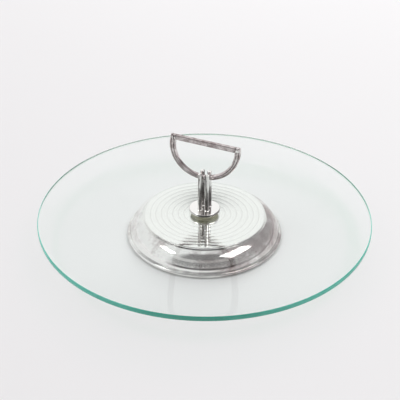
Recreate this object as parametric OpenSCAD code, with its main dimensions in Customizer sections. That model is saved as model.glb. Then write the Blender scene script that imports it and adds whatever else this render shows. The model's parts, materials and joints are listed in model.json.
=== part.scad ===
// Round glass serving plate on a low spun-metal base.
// A stemmed D handle screws down through the plate's centre and clamps it to the base.
// Millimetres, +Z up. The origin is the centre of the base's underside, on the table.

/* [Glass plate] */
// Diameter of the glass plate
glass_d = 350; // [280:1:420]
// Thickness of the glass plate
glass_t = 5.2; // [4:0.1:8]
// Rounding of the plate's two rim edges
glass_edge_r = 1.2; // [0.5:0.1:1.9]
// Diameter of the hole through the plate's centre
glass_hole_d = 13; // [12:0.5:20]

/* [Base] */
// Diameter of the base over its foot bead
base_d = 165; // [155:1:220]
// Height of the base's ringed top above the table
base_h = 22.9; // [18:0.1:40]
// Diameter of the flat ringed top
top_d = 129.4; // [125:0.1:132]
// Thickness of the spun sheet
sheet_t = 1.2; // [0.8:0.1:1.6]
// Diameter of the rolled bead at the foot
bead_d = 4; // [3:0.1:6]
// How far the shoulder's foot stands in from the bead's outside
waist_inset = 2.7; // [2.2:0.1:4]
// Radius of the shoulder's bulge in profile
shoulder_r = 22; // [18:0.5:40]
// Drop from the ringed top to the shoulder's upper edge
shoulder_drop = 2.1; // [1.5:0.1:4]
// Width of the groove between the ringed top and the shoulder
groove_w = 1.3; // [0.8:0.1:2]
// Depth of that groove below the shoulder's upper edge
groove_depth = 0.6; // [0.3:0.1:1]
// Bevel around the ringed top
top_bevel = 0.6; // [0.3:0.1:1]

/* [Rings on the base] */
// Diameter of the smooth seat inside the rings
seat_d = 33; // [28:0.5:50]
// Number of raised rings
ring_count = 8; // [3:1:12]
// Width of each ring
ring_pitch = 5.9; // [3:0.1:7]
// Height of each ring's crown
ring_h = 0.15; // [0.1:0.05:0.8]

/* [Underside] */
// Thickness of the closing plate under the base
plate_t = 1; // [0.8:0.1:2]
// Thickness of the felt under the closing plate
felt_t = 1; // [0.5:0.1:3]
// How far the felt stands proud of the foot bead
felt_proud = 0.4; // [0.1:0.1:0.8]
// Gap between the closing plate and the wall around it
plate_fit = 0.05; // [0.01:0.01:0.2]

/* [Screw] */
// Diameter over the stud's thread
stud_d = 7.9; // [6:0.1:10]
// Pitch of the thread
thread_pitch = 1.25; // [1:0.05:1.75]
// Depth of the thread
thread_depth = 0.45; // [0.2:0.05:0.6]
// Length of thread inside the hub
thread_engaged = 9; // [5:0.5:10]
// Radial running clearance around the stud
stud_fit = 0.05; // [0.01:0.01:0.1]
// Wall of the hub around the stud
hub_wall = 5; // [3:0.5:8]
// Width of the hub's soldered collar beyond its barrel
hub_collar = 6; // [3:0.5:10]
// Thickness of the hub's soldered collar
hub_collar_t = 2; // [1:0.1:3]
// How far the hub reaches below the stud's end
hub_extra = 1; // [0.5:0.1:3]

/* [Washers] */
// Diameter of the lower washer, between base and glass
lower_washer_d = 28; // [20:0.5:32]
// Thickness of the lower washer
lower_washer_t = 1.9; // [1:0.1:4]
// Thickness of the upper washer, between glass and flange
upper_washer_t = 0.4; // [0.2:0.1:1.5]
// How far the flange's rim stands out over the upper washer
upper_washer_inset = 0.7; // [0.3:0.1:3]
// Radial gap between the centring bush and the glass
bush_fit = 0.1; // [0.02:0.01:0.3]

/* [Stem] */
// Diameter of the flange at the stem's foot
flange_d = 32.6; // [26:0.1:50]
// Thickness of the flange
flange_t = 2.6; // [2:0.1:5]
// Bevel around the flange's upper edge
flange_bevel = 0.5; // [0.2:0.1:1]
// Web left in the flange between the stud's socket and the rods' tenons
socket_web = 0.2; // [0.1:0.1:0.4]
// Diameter of each of the four rods
rod_d = 4.8; // [3.5:0.1:6]
// Distance between the left and right rods' axes
rod_pitch = 7.6; // [6:0.1:11]
// Length of the rods above the flange
rod_len = 42.3; // [38:0.1:80]
// Bevel around the rods' upper ends
rod_bevel = 0.4; // [0.2:0.1:1]
// Diameter of the tenons that hold the rods in the flange
tenon_d = 3; // [2:0.1:3.4]
// Length of those tenons
tenon_len = 1.2; // [0.8:0.1:1.4]
// Diameter of the two pins through the rods and the handle
clamp_pin_d = 1.6; // [1:0.1:2.4]
// How far those pins' ends stand back inside the rods
clamp_pin_sunk = 0.5; // [0.2:0.1:1.5]
// Gap between pieces that are soldered or driven together
seat_fit = 0.02; // [0.01:0.01:0.05]

/* [D handle] */
// Turn of the stem and handle about the plate's axis, degrees
handle_yaw = 15; // [0:1:45]
// Slope of the handle's bar, its left end raised, degrees
handle_tilt = 5.5; // [0:0.5:8]
// Outer radius of the D
d_radius = 37.2; // [33:0.1:45]
// Thickness of the D beside its grip bar
d_side_t = 6.4; // [5.5:0.1:8]
// Thickness of the D at its lowest point, between the rods
d_low_t = 4.8; // [3.5:0.1:6]
// Depth of the handle from front to back
d_depth = 4.6; // [3:0.1:7]
// Bevel along the edges of the D and the bar
d_bevel = 1.1; // [0.3:0.1:1.4]
// How far the rods reach above the D's lowest inner point
rod_above_d = 3.1; // [1:0.1:6]
// Height of the bar's underside above the D's centre
bar_rise = 2.2; // [1:0.1:5]
// Height of the grip bar's section
bar_h = 5.4; // [4:0.1:8]
// Radius of the reeding grooves on the bar
reed_r = 0.3; // [0.1:0.05:0.4]
// Number of reeding grooves on each side of the bar
reed_count = 3; // [1:1:4]
// Diameter of the bar's end tenons
bar_tenon_d = 2.8; // [1.8:0.1:3.2]
// Length of the bar's end tenons
bar_tenon_len = 4.2; // [3:0.1:4.6]
// Diameter of the rivets through the bar's tenons
rivet_d = 1.4; // [0.8:0.1:1.8]
// Diameter of the rivets' domed heads
rivet_head_d = 3.8; // [2.6:0.1:4.6]
// Height of the rivets' domed heads
rivet_head_h = 0.8; // [0.3:0.1:1.4]
// Distance from the bar's end to the rivets' axes
rivet_in = 2.6; // [2:0.1:3]

/* [Hidden] */
$fn = 96;
silver = [0.78, 0.77, 0.76];
tarnish = [0.62, 0.57, 0.56];
glass_green = [0.62, 0.86, 0.80, 0.4];
rubber_grey = [0.30, 0.31, 0.30];
felt_green = [0.16, 0.30, 0.22];
// A cut runs this far past the face it opens
cut = 1;

// Base
base_r = base_d / 2;
top_r = top_d / 2;
top_flat_z = base_h - ring_h;
bead_r = bead_d / 2;
bead_c = [base_r - bead_r, felt_proud + bead_r];
waist = [base_r - waist_inset, felt_proud + bead_d];
shoulder_top = [top_r + groove_w, base_h - shoulder_drop];
shoulder_c = arc_centre(shoulder_top, waist, shoulder_r);
groove_z = shoulder_top.y - groove_depth;
plate_z = felt_t;
cavity_r = base_r - bead_d;
ring_arc_r = (ring_pitch * ring_pitch / 4 + ring_h * ring_h) / (2 * ring_h);
shell_under_z = top_flat_z - sheet_t;

// Glass and screw
glass_z = base_h + lower_washer_t;
glass_top_z = glass_z + glass_t;
flange_z = glass_top_z + upper_washer_t;
flange_top_z = flange_z + flange_t;
stud_r = stud_d / 2;
hub_bore_r = stud_r + stud_fit;
stud_low_z = shell_under_z - thread_engaged;
stud_socket = flange_t - tenon_len - socket_web;
hub_low_z = stud_low_z - hub_extra;
hub_r = hub_bore_r + hub_wall;
thread_turns = floor((flange_z - stud_low_z) / thread_pitch);

// Stem and handle, in a frame turned by handle_yaw: x along the bar, y to the rear
rod_r = rod_d / 2;
rod_x = rod_pitch / 2;
rod_y = d_depth / 2 + seat_fit + rod_r;
rod_top_z = flange_top_z + rod_len;
d_low_z = rod_top_z - rod_above_d - d_low_t;
d_centre_z = d_low_z + d_radius;
side_r = d_radius - d_side_t;
low_r = d_radius - d_low_t;
inner_drop = (low_r * low_r - side_r * side_r) / (2 * low_r);
inner_r = low_r - inner_drop;
bar_top = bar_rise + bar_h;
rivet_x = side_r + rivet_in;
rivet_z = bar_rise + bar_h / 2;
d_middle_r = d_radius - d_low_t / 2;
clamp_z = d_centre_z - sqrt(d_middle_r * d_middle_r - rod_x * rod_x);
clamp_half = rod_y + rod_r - clamp_pin_sunk;

// Centre of the arc of radius r that runs from p down to q and bulges outwards
function arc_centre(p, q, r) =
    let (chord = norm(q - p), along = (q - p) / chord)
    (p + q) / 2 + [along.y, -along.x] * sqrt(r * r - chord * chord / 4);

// Turns its children into the stem's frame
module yawed() {
    rotate([0, 0, -handle_yaw]) children();
}

// Turns its children into the handle's frame, with its origin at the D's centre
module in_handle() {
    yawed() translate([0, 0, d_centre_z]) rotate([0, handle_tilt, 0]) children();
}

// A cylinder along Y, centred on the origin
module y_cylinder(r, length) {
    rotate([90, 0, 0]) cylinder(r = r, h = length, center = true);
}

// A disc with a bevelled upper edge
module bevelled_disc(r, h, bevel) {
    rotate_extrude() polygon([[0, 0], [r, 0], [r, h - bevel], [r - bevel, h], [0, h]]);
}

// A flat ring
module washer(outer_r, inner_r, h) {
    difference() {
        cylinder(r = outer_r, h = h);
        translate([0, 0, -cut]) cylinder(r = inner_r, h = h + 2 * cut);
    }
}

// Half section of the base's outside: foot bead, shoulder, groove and ringed top
module base_outside() {
    polygon([[0, 0], [top_r, 0], [top_r, top_flat_z - top_bevel],
             [top_r - top_bevel, top_flat_z], [0, top_flat_z]]);
    square([seat_d / 2, base_h]);
    intersection() {
        translate(shoulder_c) circle(shoulder_r);
        translate([0, waist.y]) square([base_r, shoulder_top.y - waist.y]);
    }
    translate([0, felt_proud]) square([bead_c.x, bead_d]);
    translate(bead_c) circle(bead_r);
    for (i = [0 : ring_count - 1]) ring_crown(seat_d / 2 + i * ring_pitch);
}

// Half section of one raised ring that starts at radius r
module ring_crown(r) {
    intersection() {
        translate([r + ring_pitch / 2, base_h - ring_arc_r]) circle(ring_arc_r);
        translate([r, shell_under_z + sheet_t / 2]) square([ring_pitch, ring_h + sheet_t]);
    }
}

// Half section of the groove between the ringed top and the shoulder
module base_groove() {
    translate([top_r, groove_z]) square([groove_w, base_h]);
}

// Half section of the hollow under the sheet
module base_hollow() {
    square([top_r - sheet_t, shell_under_z]);
    intersection() {
        union() {
            translate(shoulder_c) circle(shoulder_r - sheet_t);
            square([shoulder_c.x, base_h]);
        }
        translate([0, waist.y]) square([base_r, groove_z - sheet_t - waist.y]);
    }
    square([cavity_r, waist.y]);
}

module base_shell() {
    color(silver) difference() {
        rotate_extrude() difference() {
            base_outside();
            base_groove();
            base_hollow();
        }
        cylinder(r = hub_bore_r, h = base_h + cut);
    }
}

module base_plate() {
    color(silver) translate([0, 0, plate_z]) cylinder(r = cavity_r - plate_fit, h = plate_t);
}

module felt_pad() {
    color(felt_green) cylinder(r = cavity_r - 2 * plate_fit, h = felt_t);
}

module hub() {
    color(silver) difference() {
        union() {
            translate([0, 0, hub_low_z]) cylinder(r = hub_r, h = shell_under_z - hub_low_z);
            translate([0, 0, shell_under_z - hub_collar_t])
                cylinder(r = hub_r + hub_collar, h = hub_collar_t);
        }
        translate([0, 0, hub_low_z - cut]) cylinder(r = hub_bore_r, h = base_h);
    }
}

module lower_washer() {
    color(rubber_grey) translate([0, 0, base_h])
        washer(lower_washer_d / 2, hub_bore_r, lower_washer_t);
}

module glass_plate() {
    rim = glass_d / 2 - glass_edge_r;
    color(glass_green) translate([0, 0, glass_z]) rotate_extrude() difference() {
        union() {
            square([rim, glass_t]);
            translate([0, glass_edge_r]) square([glass_d / 2, glass_t - 2 * glass_edge_r]);
            for (z = [glass_edge_r, glass_t - glass_edge_r])
                translate([rim, z]) circle(glass_edge_r);
        }
        translate([0, -cut]) square([glass_hole_d / 2, glass_t + 2 * cut]);
    }
}

module centring_bush() {
    color(rubber_grey) translate([0, 0, glass_z])
        washer(glass_hole_d / 2 - bush_fit, hub_bore_r, glass_t);
}

module upper_washer() {
    color(rubber_grey) translate([0, 0, glass_top_z])
        washer(flange_d / 2 - upper_washer_inset, hub_bore_r, upper_washer_t);
}

module flange() {
    color(silver) yawed() difference() {
        translate([0, 0, flange_z]) bevelled_disc(flange_d / 2, flange_t, flange_bevel);
        translate([0, 0, flange_z - cut]) cylinder(r = stud_r, h = stud_socket + cut);
        for (x = [-rod_x, rod_x], y = [-rod_y, rod_y])
            translate([x, y, flange_top_z - tenon_len])
                cylinder(r = tenon_d / 2 + seat_fit, h = tenon_len + cut);
    }
}

module stud() {
    color(silver) difference() {
        translate([0, 0, stud_low_z])
            cylinder(r = stud_r, h = flange_z + stud_socket - stud_low_z);
        for (i = [0 : thread_turns - 1])
            translate([0, 0, stud_low_z + i * thread_pitch]) thread_groove();
    }
}

// One turn of the thread, cut as a closed V groove
module thread_groove() {
    rotate_extrude() polygon([[stud_r - thread_depth, thread_pitch / 2],
                              [stud_r + thread_depth, 0],
                              [stud_r + thread_depth, thread_pitch]]);
}

// One rod of the stem: side is -1 for left, 1 for right; face is -1 for front, 1 for rear
module rod(side, face) {
    color(silver) yawed() difference() {
        translate([side * rod_x, face * rod_y, flange_top_z]) {
            bevelled_disc(rod_r, rod_len, rod_bevel);
            translate([0, 0, -tenon_len]) cylinder(r = tenon_d / 2, h = tenon_len + cut);
        }
        clamp_bores();
    }
}

// Bores for the two pins that run through the rods and the handle
module clamp_bores() {
    for (x = [-rod_x, rod_x])
        translate([x, 0, clamp_z]) y_cylinder(clamp_pin_d / 2 + seat_fit, 2 * clamp_half + 2 * seat_fit);
}

module clamp_pin(side) {
    color(silver) yawed() translate([side * rod_x, 0, clamp_z])
        y_cylinder(clamp_pin_d / 2, 2 * clamp_half);
}

// Solid of revolution about Y: a disc of radius r and depth d_depth with bevelled edges
module d_disc(r) {
    h = d_depth / 2;
    rotate([90, 0, 0]) rotate_extrude()
        polygon([[0, -h], [r - d_bevel, -h], [r, d_bevel - h],
                 [r, h - d_bevel], [r - d_bevel, h], [0, h]]);
}

// Solid of revolution about Y: an opening of radius r whose edges flare by the bevel
module d_opening(r) {
    h = d_depth / 2;
    rotate([90, 0, 0]) rotate_extrude()
        polygon([[0, -h - cut], [r + d_bevel + cut, -h - cut], [r, d_bevel - h],
                 [r, h - d_bevel], [r + d_bevel + cut, h + cut], [0, h + cut]]);
}

module handle_arc() {
    color(tarnish) difference() {
        in_handle() difference() {
            d_disc(d_radius);
            translate([0, 0, -inner_drop]) d_opening(inner_r);
            translate([-side_r, -d_depth, -inner_drop])
                cube([2 * side_r, 2 * d_depth, d_radius]);
            translate([-d_radius - cut, -d_depth, bar_top])
                cube([2 * (d_radius + cut), 2 * d_depth, d_radius]);
            for (side = [-1, 1]) {
                translate([side * side_r, 0, rivet_z]) rotate([0, side * 90, 0])
                    cylinder(r = bar_tenon_d / 2 + seat_fit, h = bar_tenon_len + seat_fit);
                rivet_bore(side);
            }
        }
        yawed() clamp_bores();
    }
}

// Bore for a rivet through the arm and the bar's tenon
module rivet_bore(side) {
    translate([side * rivet_x, 0, rivet_z]) y_cylinder(rivet_d / 2 + seat_fit, 2 * d_depth);
}

// Cross section of the bar, x to the rear and y up, with reeding on both sides
module bar_section() {
    w = d_depth / 2;
    difference() {
        polygon([[d_bevel - w, 0], [w - d_bevel, 0], [w, d_bevel], [w, bar_h - d_bevel],
                 [w - d_bevel, bar_h], [d_bevel - w, bar_h], [-w, bar_h - d_bevel], [-w, d_bevel]]);
        for (i = [1 : reed_count], side = [-1, 1])
            translate([side * w, bar_h * i / (reed_count + 1)]) circle(reed_r);
    }
}

module grip_bar() {
    half = side_r - seat_fit;
    color(tarnish) in_handle() difference() {
        union() {
            translate([-half, 0, bar_rise]) rotate([90, 0, 90])
                linear_extrude(2 * half) bar_section();
            translate([0, 0, rivet_z]) rotate([0, 90, 0])
                cylinder(r = bar_tenon_d / 2, h = 2 * (half + bar_tenon_len), center = true);
        }
        for (side = [-1, 1]) rivet_bore(side);
    }
}

// A rivet with a domed head on each face
module rivet(side) {
    head_r = rivet_head_d / 2;
    dome_r = (head_r * head_r + rivet_head_h * rivet_head_h) / (2 * rivet_head_h);
    face = d_depth / 2 + seat_fit;
    color(silver) in_handle() translate([side * rivet_x, 0, rivet_z]) {
        y_cylinder(rivet_d / 2, 2 * face);
        for (turn = [90, -90]) rotate([turn, 0, 0]) translate([0, 0, face]) intersection() {
            translate([0, 0, rivet_head_h - dome_r]) sphere(dome_r);
            cylinder(r = head_r, h = rivet_head_h);
        }
    }
}

module rod_front_left() { rod(-1, -1); }
module rod_front_right() { rod(1, -1); }
module rod_rear_left() { rod(-1, 1); }
module rod_rear_right() { rod(1, 1); }
module rivet_left() { rivet(-1); }
module rivet_right() { rivet(1); }
module clamp_pin_left() { clamp_pin(-1); }
module clamp_pin_right() { clamp_pin(1); }

base_shell();
base_plate();
felt_pad();
hub();
lower_washer();
glass_plate();
centring_bush();
upper_washer();
flange();
stud();
rod_front_left();
rod_front_right();
rod_rear_left();
rod_rear_right();
handle_arc();
grip_bar();
rivet_left();
rivet_right();
clamp_pin_left();
clamp_pin_right();
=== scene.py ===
# %% [markdown]
# # A glass serving plate with a centre handle
# The object is a round sheet of glass on a low spun-metal base. A D-shaped handle on a stem
# of four rods screws down through the plate and clamps it to the base. The engineering
# model is loaded first and stays where it is: it fixes every size, place and joint. This
# lesson then models each visible piece again with the small shapes that catch the light,
# gives each one a finish, and lights the whole like a table-top studio.

# %% Load the fixed frame
import json
import math

import bpy
from mathutils import Matrix, Vector

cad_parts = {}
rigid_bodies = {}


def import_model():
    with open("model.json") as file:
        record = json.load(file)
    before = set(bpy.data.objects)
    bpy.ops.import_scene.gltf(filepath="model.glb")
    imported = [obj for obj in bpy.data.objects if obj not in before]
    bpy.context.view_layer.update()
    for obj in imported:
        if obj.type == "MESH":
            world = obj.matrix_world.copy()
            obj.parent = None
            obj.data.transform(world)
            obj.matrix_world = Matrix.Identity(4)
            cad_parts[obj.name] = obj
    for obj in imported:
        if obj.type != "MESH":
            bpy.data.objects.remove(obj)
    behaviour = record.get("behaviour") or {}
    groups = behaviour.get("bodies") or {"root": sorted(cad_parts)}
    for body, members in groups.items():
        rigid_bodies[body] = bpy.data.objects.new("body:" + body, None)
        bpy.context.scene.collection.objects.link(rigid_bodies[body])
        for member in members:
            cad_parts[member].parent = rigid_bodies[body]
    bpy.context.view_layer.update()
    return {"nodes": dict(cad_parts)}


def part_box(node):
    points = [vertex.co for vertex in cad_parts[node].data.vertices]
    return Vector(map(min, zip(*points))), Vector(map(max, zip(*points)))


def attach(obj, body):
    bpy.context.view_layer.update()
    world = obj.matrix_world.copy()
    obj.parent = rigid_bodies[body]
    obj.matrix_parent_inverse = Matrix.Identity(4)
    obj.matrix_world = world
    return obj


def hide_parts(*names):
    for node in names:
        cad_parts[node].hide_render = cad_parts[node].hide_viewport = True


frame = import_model()
nodes = frame["nodes"]
MM = 0.001

# %% [markdown]
# ## Working habits
# Blender's operators act on whatever is selected, and loading the frame leaves its nodes
# selected. So each step starts by deselecting everything, works in edit mode on one mesh,
# and leaves edit mode again. Three small helpers keep that habit in one place.


# %% Helpers for starting and ending an edit
def deselect():
    """Leaves nothing selected, so that the next operator touches only what it should."""
    bpy.ops.object.select_all(action="DESELECT")


def start_edit(piece):
    """Opens one piece in edit mode with all of it selected."""
    deselect()
    piece.select_set(True)
    bpy.context.view_layer.objects.active = piece
    bpy.ops.object.mode_set(mode="EDIT")
    bpy.ops.mesh.select_all(action="SELECT")


def end_edit(piece, smooth_angle=30):
    """Leaves edit mode and shades the piece smooth wherever its faces meet gently."""
    bpy.ops.object.mode_set(mode="OBJECT")
    bpy.ops.object.shade_smooth_by_angle(angle=math.radians(smooth_angle))
    print(f"{piece.name}: {len(piece.data.vertices)} points, {len(piece.data.polygons)} faces")


# %% [markdown]
# ## Turning a shape on the lathe
# Base, flange, rods and glass are all round about one axis. They could be built from
# cylinders, but then every soft corner would be a separate bevel. A turner thinks in half
# outlines instead, so a helper draws the outline point by point with extrude, and the spin
# operator sweeps it once round. Sharp corners never exist on polished metal, so another
# helper replaces each corner of an outline with a small arc.


# %% Helpers for outlines and for the lathe
def arc(centre, radius, start, end, steps):
    """Points on an arc about centre, from angle start to angle end in degrees."""
    angles = [math.radians(start + (end - start) * i / steps) for i in range(steps + 1)]
    return [(centre[0] + radius * math.cos(a), centre[1] + radius * math.sin(a)) for a in angles]


def soft_corner(before, corner, after, radius, steps=4):
    """Points that replace a corner of an outline with an arc of the given radius."""
    p = Vector(corner)
    to_before = (Vector(before) - p).normalized()
    to_after = (Vector(after) - p).normalized()
    half = to_before.angle(to_after) / 2
    reach = radius / math.tan(half)
    start = p + to_before * reach
    end = p + to_after * reach
    middle = p + (to_before + to_after).normalized() * (radius / math.sin(half))
    points = []
    for i in range(steps + 1):
        spoke = (start.lerp(end, i / steps) - middle).normalized()
        points.append(tuple(middle + spoke * radius))
    return points


def soften(corners, steps=4):
    """Turns corners given as (x, y, radius) into a closed outline; radius 0 stays sharp."""
    points = []
    for i, (x, y, radius) in enumerate(corners):
        before = corners[i - 1][:2]
        after = corners[(i + 1) % len(corners)][:2]
        if radius:
            points += soft_corner(before, (x, y), after, radius, steps)
        else:
            points.append((x, y))
    return points


def draw_outline(name, points):
    """Draws a closed outline, in millimetres, in the XZ plane, and leaves it in edit mode."""
    deselect()
    bpy.ops.mesh.primitive_plane_add(size=MM)
    piece = bpy.context.object
    piece.name = name
    piece.data.name = name
    bpy.ops.object.mode_set(mode="EDIT")
    bpy.ops.mesh.merge(type="CENTER")
    bpy.ops.transform.translate(value=(points[0][0] * MM, 0, points[0][1] * MM))
    pen = Vector(points[0])
    for point in points[1:] + points[:1]:
        step = (Vector(point) - pen) * MM
        bpy.ops.mesh.extrude_region_move(TRANSFORM_OT_translate={"value": (step.x, 0, step.y)})
        pen = Vector(point)
    bpy.ops.mesh.select_all(action="SELECT")
    return piece


def turn(name, points, steps):
    """Spins a closed half outline about the Z axis into a solid of revolution."""
    piece = draw_outline(name, points)
    bpy.ops.mesh.spin(steps=steps, angle=math.tau, center=(0, 0, 0), axis=(0, 0, 1))
    bpy.ops.mesh.select_all(action="SELECT")
    bpy.ops.mesh.remove_doubles(threshold=0.002 * MM)
    bpy.ops.mesh.delete_loose(use_verts=True, use_edges=True, use_faces=False)
    bpy.ops.mesh.select_all(action="SELECT")
    bpy.ops.mesh.normals_make_consistent(inside=False)
    end_edit(piece)
    return piece


# %% [markdown]
# ## The spun base
# The base was spun from one sheet over a form: a flat top with eight raised rings, a narrow
# groove round it, a bulging shoulder, and a bead rolled round the foot. Its mirror finish
# shows every change of curve, so the outline is drawn with true arcs. The rings are nearly
# flat and fall off into soft, very shallow grooves. Both sides of the sheet are drawn,
# because the bore in the middle shows the sheet's thickness when the handle is off.

# %% Model the spun base
shell_low, shell_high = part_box("base_shell")
BASE_R = shell_high.x / MM
BASE_TOP = shell_high.z / MM
FOOT_Z = shell_low.z / MM
TOP_R = 64.7
RING_GROOVE = 0.10
RING_COUNT = 8
RING_PITCH = 5.9
SEAT_R = 16.5
SHEET = 1.2
BORE_R = 4.0
BEAD_R = 2.0
GROOVE_W = 1.3
GROOVE_DROP = 2.7
SHOULDER_DROP = 2.1
SHOULDER_R = 22.0
WAIST_IN = 2.7
RING_STEPS = 12
SHOULDER_STEPS = 28


def centre_of(p, q, radius):
    """Centre of the arc that bulges outwards on its way from p down to q."""
    chord = Vector(q) - Vector(p)
    along = chord.normalized()
    rise = math.sqrt(radius ** 2 - chord.length ** 2 / 4)
    return (Vector(p) + Vector(q)) / 2 + Vector((along.y, -along.x)) * rise


def arc_between(p, q, centre, radius, steps):
    """Points on the arc about centre that runs from p to q."""
    start = math.degrees(math.atan2(p[1] - centre[1], p[0] - centre[0]))
    end = math.degrees(math.atan2(q[1] - centre[1], q[0] - centre[0]))
    return arc(centre, radius, start, end, steps)


def ring_crowns():
    """The ringed top from the seat outwards: nearly flat rings that fall off into soft grooves."""
    points = []
    for ring in range(RING_COUNT):
        for i in range(RING_STEPS):
            share = (i + 0.5) / RING_STEPS
            fall = RING_GROOVE * abs(2 * share - 1) ** 4
            points.append((SEAT_R + (ring + share) * RING_PITCH, BASE_TOP - fall))
    return points


def base_outline():
    """The base's half outline: up the bore, out over the top, down the outside, back inside."""
    flat_z = BASE_TOP - RING_GROOVE
    edge = (TOP_R + GROOVE_W, BASE_TOP - SHOULDER_DROP)
    waist = (BASE_R - WAIST_IN, FOOT_Z + 2 * BEAD_R)
    bead = (BASE_R - BEAD_R, FOOT_Z + BEAD_R)
    centre = centre_of(edge, waist, SHOULDER_R)
    outside = arc_between(edge, waist, centre, SHOULDER_R, SHOULDER_STEPS)
    groove_z = BASE_TOP - GROOVE_DROP
    inner_top = (TOP_R - SHEET, groove_z - SHEET)
    inner_low = (BASE_R - 2 * BEAD_R, FOOT_Z + 2 * BEAD_R)
    points = [(BORE_R, flat_z - SHEET), (BORE_R, BASE_TOP - 0.2), (BORE_R + 0.2, BASE_TOP)]
    points += [(SEAT_R - 0.5, BASE_TOP)]
    points += ring_crowns()
    points += soft_corner((SEAT_R, flat_z), (TOP_R, flat_z + 0.05), (TOP_R, groove_z), 0.45)
    points += soft_corner((TOP_R, flat_z), (TOP_R, groove_z), (edge[0], groove_z), 0.3)
    points += soft_corner((TOP_R, groove_z), (edge[0], groove_z), edge, 0.2)
    points += soft_corner((edge[0], groove_z), edge, outside[3], 0.12)
    points += outside[2:-1]
    points += soft_corner(outside[-3], (waist[0], waist[1] + 0.1), (bead[0], waist[1]), 0.25)
    points += arc(bead, BEAD_R, 84, -90, 16)
    points += [(inner_low[0], FOOT_Z), inner_low]
    points += [(inner_low[0] - 2.4, inner_low[1] + 5), (inner_low[0] - 6.5, inner_low[1] + 10)]
    points += [inner_top, (inner_top[0], flat_z - SHEET)]
    return points


spun_base = turn("spun_base", base_outline(), 256)
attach(spun_base, "base")
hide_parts("base_shell")

# %% [markdown]
# ## The glass plate
# The plate is float glass with a ground and polished rim and a drilled centre. What makes
# glass look like glass is its closed, correct thickness, so it is turned as one solid whose
# faces all point outwards. The rim has two rounded edges with a narrow band between them.

# %% Model the glass plate
glass_low, glass_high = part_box("glass_plate")
GLASS_R = glass_high.x / MM
HOLE_R = 6.5
RIM_SOFT = 1.2
HOLE_SOFT = 0.4
glass_outline = soften([
    (HOLE_R, glass_low.z / MM, HOLE_SOFT),
    (GLASS_R, glass_low.z / MM, RIM_SOFT),
    (GLASS_R, glass_high.z / MM, RIM_SOFT),
    (HOLE_R, glass_high.z / MM, HOLE_SOFT),
], steps=6)
ground_glass = turn("ground_glass_plate", glass_outline, 320)
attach(ground_glass, "plate")
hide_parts("glass_plate")

# %% [markdown]
# ## Moving, drilling and copying
# The stem and handle stand turned about the upright axis, and the D leans a little. It is
# easiest to model each piece square to the axes, drill it there, and only then move its mesh
# into place in edit mode, so that every finished piece keeps its own origin on the table.
# The rotate operator counts the other way round than a right-hand turn, so one helper
# hides that.

# %% Helpers for moving, drilling and copying
TURNED = -15.0
LEAN = 5.5
D_CENTRE_Z = 104.6


def shift(piece, x=0.0, y=0.0, z=0.0):
    """Moves a piece's mesh by millimetres."""
    start_edit(piece)
    bpy.ops.transform.translate(value=(x * MM, y * MM, z * MM))
    bpy.ops.object.mode_set(mode="OBJECT")


def swing(piece, axis, degrees):
    """Turns a piece's mesh about an axis through the origin, right-handed."""
    start_edit(piece)
    bpy.ops.transform.rotate(value=-math.radians(degrees), orient_axis=axis,
                             orient_type="GLOBAL", center_override=(0, 0, 0))
    bpy.ops.object.mode_set(mode="OBJECT")


def combine(piece, tool, operation, smooth_angle=30):
    """Cuts a tool out of a piece, or welds it on, and throws the tool away."""
    step = piece.modifiers.new("combine", "BOOLEAN")
    step.operation = operation
    step.solver = "EXACT"
    step.object = tool
    deselect()
    piece.select_set(True)
    bpy.context.view_layer.objects.active = piece
    bpy.ops.object.modifier_apply(modifier="combine")
    bpy.data.objects.remove(tool)
    start_edit(piece)
    end_edit(piece, smooth_angle)


def rod_tool(radius, length, centre, axis="Z"):
    """A plain round tool for drilling, centred on a point, along one axis."""
    deselect()
    turned = {"X": (0, math.pi / 2, 0), "Y": (math.pi / 2, 0, 0), "Z": (0, 0, 0)}[axis]
    place = tuple(value * MM for value in centre)
    bpy.ops.mesh.primitive_cylinder_add(vertices=32, radius=radius * MM, depth=length * MM,
                                        location=place, rotation=turned)
    return bpy.context.object


def copy_of(piece, name):
    """A second piece with its own mesh."""
    made = piece.copy()
    made.data = piece.data.copy()
    made.name = name
    made.data.name = name
    bpy.context.scene.collection.objects.link(made)
    return made


def stand_for(piece, body, node):
    """Fixes a finished piece to its body in the place of one engineering node."""
    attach(piece, body)
    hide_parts(node)


# %% [markdown]
# ## The stem
# Four rods stand in a round flange. Each has a tenon below, a rounded top and a cross bore
# that runs right through it, with a pin's end set back inside. Solder drew up round each
# foot and left a small hollow fillet, which gives the rods a soft bright line where they
# meet the flange.

# %% Model the four rods
ROD_R = 2.4
ROD_X = 3.8
ROD_Y = 4.72
ROD_TOP = 75.3
FLANGE_TOP = 33.0
TENON_R = 1.5
TENON_Z = 31.8
PIN_Z = 70.008
PIN_BORE_R = 0.82
rod_outline = [(0, TENON_Z), (TENON_R, TENON_Z), (TENON_R, FLANGE_TOP), (ROD_R, FLANGE_TOP)]
rod_outline += soft_corner((ROD_R, FLANGE_TOP), (ROD_R, ROD_TOP), (0, ROD_TOP), 0.8, 6)
rod_outline += [(0, ROD_TOP)]
rod = turn("rod", rod_outline, 64)
combine(rod, rod_tool(PIN_BORE_R, 4 * ROD_R, (0, 0, PIN_Z), "Y"), "DIFFERENCE")
for side, x in (("left", -ROD_X), ("right", ROD_X)):
    for face, y in (("front", -ROD_Y), ("rear", ROD_Y)):
        placed_rod = copy_of(rod, f"polished_rod_{face}_{side}")
        shift(placed_rod, x, y)
        swing(placed_rod, "Z", TURNED)
        stand_for(placed_rod, "handle", f"rod_{face}_{side}")
bpy.data.objects.remove(rod)

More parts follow.
